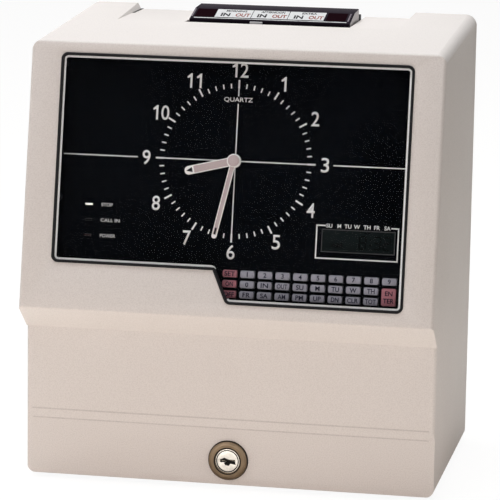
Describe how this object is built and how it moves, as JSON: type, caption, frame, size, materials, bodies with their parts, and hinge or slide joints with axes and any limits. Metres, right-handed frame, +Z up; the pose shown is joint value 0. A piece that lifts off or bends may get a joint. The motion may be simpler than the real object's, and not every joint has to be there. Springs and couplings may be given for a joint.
{
  "type": "time clock",
  "caption": "Employee time clock with an analogue dial, display and keypad behind a window, a locked swing-up cover, and a card printer under a hood on top.",
  "frame": {"origin": "on the table under the middle of the object's box", "axes": "+X to the right of someone facing the dial, -Y out of the front, +Z up"},
  "size_m": [0.242, 0.1719, 0.2702],
  "materials": {
    "cover": "warm off-white, fine texture",
    "lens": "clear sheet",
    "black_trim": "black",
    "lock_brass": "dark polished",
    "plug_metal": "polished",
    "steel": "zinc plated",
    "sheet": "grey sheet",
    "foot_rubber": "black",
    "panel": "black with white print",
    "dark_plastic": "dark grey",
    "hand": "satin",
    "board": "circuit board",
    "display": "grey-green display",
    "lamp": "red lamps",
    "hood": "dark smoked",
    "pointer": "light grey",
    "lead_brass": "turned",
    "motor": "plated can",
    "roller_rubber": "black",
    "core": "varnished core",
    "grey_key": "light grey",
    "pink_key": "pink"
  },
  "bodies": {
    "case": {"chassis": "sheet", "back_plate": "sheet", "hinge_pins": "steel", "rubber_feet": "foot_rubber", "dial_panel": "panel", "clock_movement": "dark_plastic", "keypad_board": "board", "main_board": "board", "lcd_module": "display", "indicator_lamps": "lamp", "card_hood": "hood", "card_chute": "dark_plastic", "ribbon_cassette": "black_trim", "guide_rods": "steel", "shift_motor": "motor", "feed_motor": "motor", "transformer": "core", "fixing_screws": "steel"},
    "cover": {"front_cover": "cover", "window_lens": "lens", "window_trim": "black_trim", "lock_housing": "lock_brass", "lock_nut": "steel"},
    "lock": {"lock_plug": "plug_metal", "lock_cam": "steel"},
    "minute_hand": {"minute_hand": "hand"},
    "hour_hand": {"hour_hand": "hand"},
    "carriage": {"print_carriage": "dark_plastic", "column_pointer": "pointer"},
    "lead_screw": {"lead_screw": "lead_brass"},
    "feed_roller": {"feed_roller": "roller_rubber"},
    "key_r1_c01": {"key_r1_c01": "pink_key"},
    "key_r1_c02": {"key_r1_c02": "grey_key"},
    "key_r1_c03": {"key_r1_c03": "grey_key"},
    "key_r1_c04": {"key_r1_c04": "grey_key"},
    "key_r1_c05": {"key_r1_c05": "grey_key"},
    "key_r1_c06": {"key_r1_c06": "grey_key"},
    "key_r1_c07": {"key_r1_c07": "grey_key"},
    "key_r1_c08": {"key_r1_c08": "grey_key"},
    "key_r1_c09": {"key_r1_c09": "grey_key"},
    "key_r1_c10": {"key_r1_c10": "grey_key"},
    "key_r2_c01": {"key_r2_c01": "pink_key"},
    "key_r2_c02": {"key_r2_c02": "grey_key"},
    "key_r2_c03": {"key_r2_c03": "grey_key"},
    "key_r2_c04": {"key_r2_c04": "grey_key"},
    "key_r2_c05": {"key_r2_c05": "grey_key"},
    "key_r2_c06": {"key_r2_c06": "grey_key"},
    "key_r2_c07": {"key_r2_c07": "grey_key"},
    "key_r2_c08": {"key_r2_c08": "grey_key"},
    "key_r2_c09": {"key_r2_c09": "grey_key"},
    "key_r3_c01": {"key_r3_c01": "pink_key"},
    "key_r3_c02": {"key_r3_c02": "grey_key"},
    "key_r3_c03": {"key_r3_c03": "grey_key"},
    "key_r3_c04": {"key_r3_c04": "grey_key"},
    "key_r3_c05": {"key_r3_c05": "grey_key"},
    "key_r3_c06": {"key_r3_c06": "grey_key"},
    "key_r3_c07": {"key_r3_c07": "grey_key"},
    "key_r3_c08": {"key_r3_c08": "grey_key"},
    "key_r3_c09": {"key_r3_c09": "grey_key"},
    "key_tall": {"key_tall": "pink_key"}
  },
  "joints": [
    {"name": "cover_open", "type": "hinge", "parent": "case", "child": "cover", "pos_m": [0, 0.0775, 0.258], "axis": [-1, 0, 0], "range_deg": [0, 65]},
    {"name": "cam_lock_turn", "type": "hinge", "parent": "cover", "child": "lock", "pos_m": [0, -0.0653, 0.0176], "axis": [0, -1, 0], "range_deg": [0, 90]},
    {"name": "clock_minute_turn", "type": "hinge", "parent": "case", "child": "minute_hand", "pos_m": [0, -0.05673, 0.19285], "axis": [0, 0.981, -0.1942], "continuous": true},
    {"name": "clock_hour_turn", "type": "hinge", "parent": "case", "child": "hour_hand", "pos_m": [0, -0.05673, 0.19285], "axis": [0, 0.981, -0.1942], "continuous": true},
    {"name": "column_shift", "type": "slide", "parent": "case", "child": "carriage", "axis": [1, 0, 0], "range_m": [-0.0224, 0.0336]},
    {"name": "column_screw_turn", "type": "hinge", "parent": "case", "child": "lead_screw", "pos_m": [0, 0.045, 0.217], "axis": [1, 0, 0], "range_deg": [-810, 1215]},
    {"name": "card_feed_turn", "type": "hinge", "parent": "case", "child": "feed_roller", "pos_m": [0, 0.0515, 0.15], "axis": [1, 0, 0], "continuous": true},
    {"name": "key_r1_c01_press", "type": "slide", "parent": "case", "child": "key_r1_c01", "axis": [0, 0.981, -0.1942], "range_m": [0, 0.0008], "stiffness_N_per_m": 1000},
    {"name": "key_r1_c02_press", "type": "slide", "parent": "case", "child": "key_r1_c02", "axis": [0, 0.981, -0.1942], "range_m": [0, 0.0008], "stiffness_N_per_m": 1000},
    {"name": "key_r1_c03_press", "type": "slide", "parent": "case", "child": "key_r1_c03", "axis": [0, 0.981, -0.1942], "range_m": [0, 0.0008], "stiffness_N_per_m": 1000},
    {"name": "key_r1_c04_press", "type": "slide", "parent": "case", "child": "key_r1_c04", "axis": [0, 0.981, -0.1942], "range_m": [0, 0.0008], "stiffness_N_per_m": 1000},
    {"name": "key_r1_c05_press", "type": "slide", "parent": "case", "child": "key_r1_c05", "axis": [0, 0.981, -0.1942], "range_m": [0, 0.0008], "stiffness_N_per_m": 1000},
    {"name": "key_r1_c06_press", "type": "slide", "parent": "case", "child": "key_r1_c06", "axis": [0, 0.981, -0.1942], "range_m": [0, 0.0008], "stiffness_N_per_m": 1000},
    {"name": "key_r1_c07_press", "type": "slide", "parent": "case", "child": "key_r1_c07", "axis": [0, 0.981, -0.1942], "range_m": [0, 0.0008], "stiffness_N_per_m": 1000},
    {"name": "key_r1_c08_press", "type": "slide", "parent": "case", "child": "key_r1_c08", "axis": [0, 0.981, -0.1942], "range_m": [0, 0.0008], "stiffness_N_per_m": 1000},
    {"name": "key_r1_c09_press", "type": "slide", "parent": "case", "child": "key_r1_c09", "axis": [0, 0.981, -0.1942], "range_m": [0, 0.0008], "stiffness_N_per_m": 1000},
    {"name": "key_r1_c10_press", "type": "slide", "parent": "case", "child": "key_r1_c10", "axis": [0, 0.981, -0.1942], "range_m": [0, 0.0008], "stiffness_N_per_m": 1000},
    {"name": "key_r2_c01_press", "type": "slide", "parent": "case", "child": "key_r2_c01", "axis": [0, 0.981, -0.1942], "range_m": [0, 0.0008], "stiffness_N_per_m": 1000},
    {"name": "key_r2_c02_press", "type": "slide", "parent": "case", "child": "key_r2_c02", "axis": [0, 0.981, -0.1942], "range_m": [0, 0.0008], "stiffness_N_per_m": 1000},
    {"name": "key_r2_c03_press", "type": "slide", "parent": "case", "child": "key_r2_c03", "axis": [0, 0.981, -0.1942], "range_m": [0, 0.0008], "stiffness_N_per_m": 1000},
    {"name": "key_r2_c04_press", "type": "slide", "parent": "case", "child": "key_r2_c04", "axis": [0, 0.981, -0.1942], "range_m": [0, 0.0008], "stiffness_N_per_m": 1000},
    {"name": "key_r2_c05_press", "type": "slide", "parent": "case", "child": "key_r2_c05", "axis": [0, 0.981, -0.1942], "range_m": [0, 0.0008], "stiffness_N_per_m": 1000},
    {"name": "key_r2_c06_press", "type": "slide", "parent": "case", "child": "key_r2_c06", "axis": [0, 0.981, -0.1942], "range_m": [0, 0.0008], "stiffness_N_per_m": 1000},
    {"name": "key_r2_c07_press", "type": "slide", "parent": "case", "child": "key_r2_c07", "axis": [0, 0.981, -0.1942], "range_m": [0, 0.0008], "stiffness_N_per_m": 1000},
    {"name": "key_r2_c08_press", "type": "slide", "parent": "case", "child": "key_r2_c08", "axis": [0, 0.981, -0.1942], "range_m": [0, 0.0008], "stiffness_N_per_m": 1000},
    {"name": "key_r2_c09_press", "type": "slide", "parent": "case", "child": "key_r2_c09", "axis": [0, 0.981, -0.1942], "range_m": [0, 0.0008], "stiffness_N_per_m": 1000},
    {"name": "key_r3_c01_press", "type": "slide", "parent": "case", "child": "key_r3_c01", "axis": [0, 0.981, -0.1942], "range_m": [0, 0.0008], "stiffness_N_per_m": 1000},
    {"name": "key_r3_c02_press", "type": "slide", "parent": "case", "child": "key_r3_c02", "axis": [0, 0.981, -0.1942], "range_m": [0, 0.0008], "stiffness_N_per_m": 1000},
    {"name": "key_r3_c03_press", "type": "slide", "parent": "case", "child": "key_r3_c03", "axis": [0, 0.981, -0.1942], "range_m": [0, 0.0008], "stiffness_N_per_m": 1000},
    {"name": "key_r3_c04_press", "type": "slide", "parent": "case", "child": "key_r3_c04", "axis": [0, 0.981, -0.1942], "range_m": [0, 0.0008], "stiffness_N_per_m": 1000},
    {"name": "key_r3_c05_press", "type": "slide", "parent": "case", "child": "key_r3_c05", "axis": [0, 0.981, -0.1942], "range_m": [0, 0.0008], "stiffness_N_per_m": 1000},
    {"name": "key_r3_c06_press", "type": "slide", "parent": "case", "child": "key_r3_c06", "axis": [0, 0.981, -0.1942], "range_m": [0, 0.0008], "stiffness_N_per_m": 1000},
    {"name": "key_r3_c07_press", "type": "slide", "parent": "case", "child": "key_r3_c07", "axis": [0, 0.981, -0.1942], "range_m": [0, 0.0008], "stiffness_N_per_m": 1000},
    {"name": "key_r3_c08_press", "type": "slide", "parent": "case", "child": "key_r3_c08", "axis": [0, 0.981, -0.1942], "range_m": [0, 0.0008], "stiffness_N_per_m": 1000},
    {"name": "key_r3_c09_press", "type": "slide", "parent": "case", "child": "key_r3_c09", "axis": [0, 0.981, -0.1942], "range_m": [0, 0.0008], "stiffness_N_per_m": 1000},
    {"name": "key_tall_press", "type": "slide", "parent": "case", "child": "key_tall", "axis": [0, 0.981, -0.1942], "range_m": [0, 0.0008], "stiffness_N_per_m": 1000}
  ],
  "couplings": [
    {"joint": "clock_hour_turn", "follows": "clock_minute_turn", "ratio": 0.083333},
    {"joint": "column_screw_turn", "follows": "column_shift", "rad_per_m": 628.32}
  ]
}
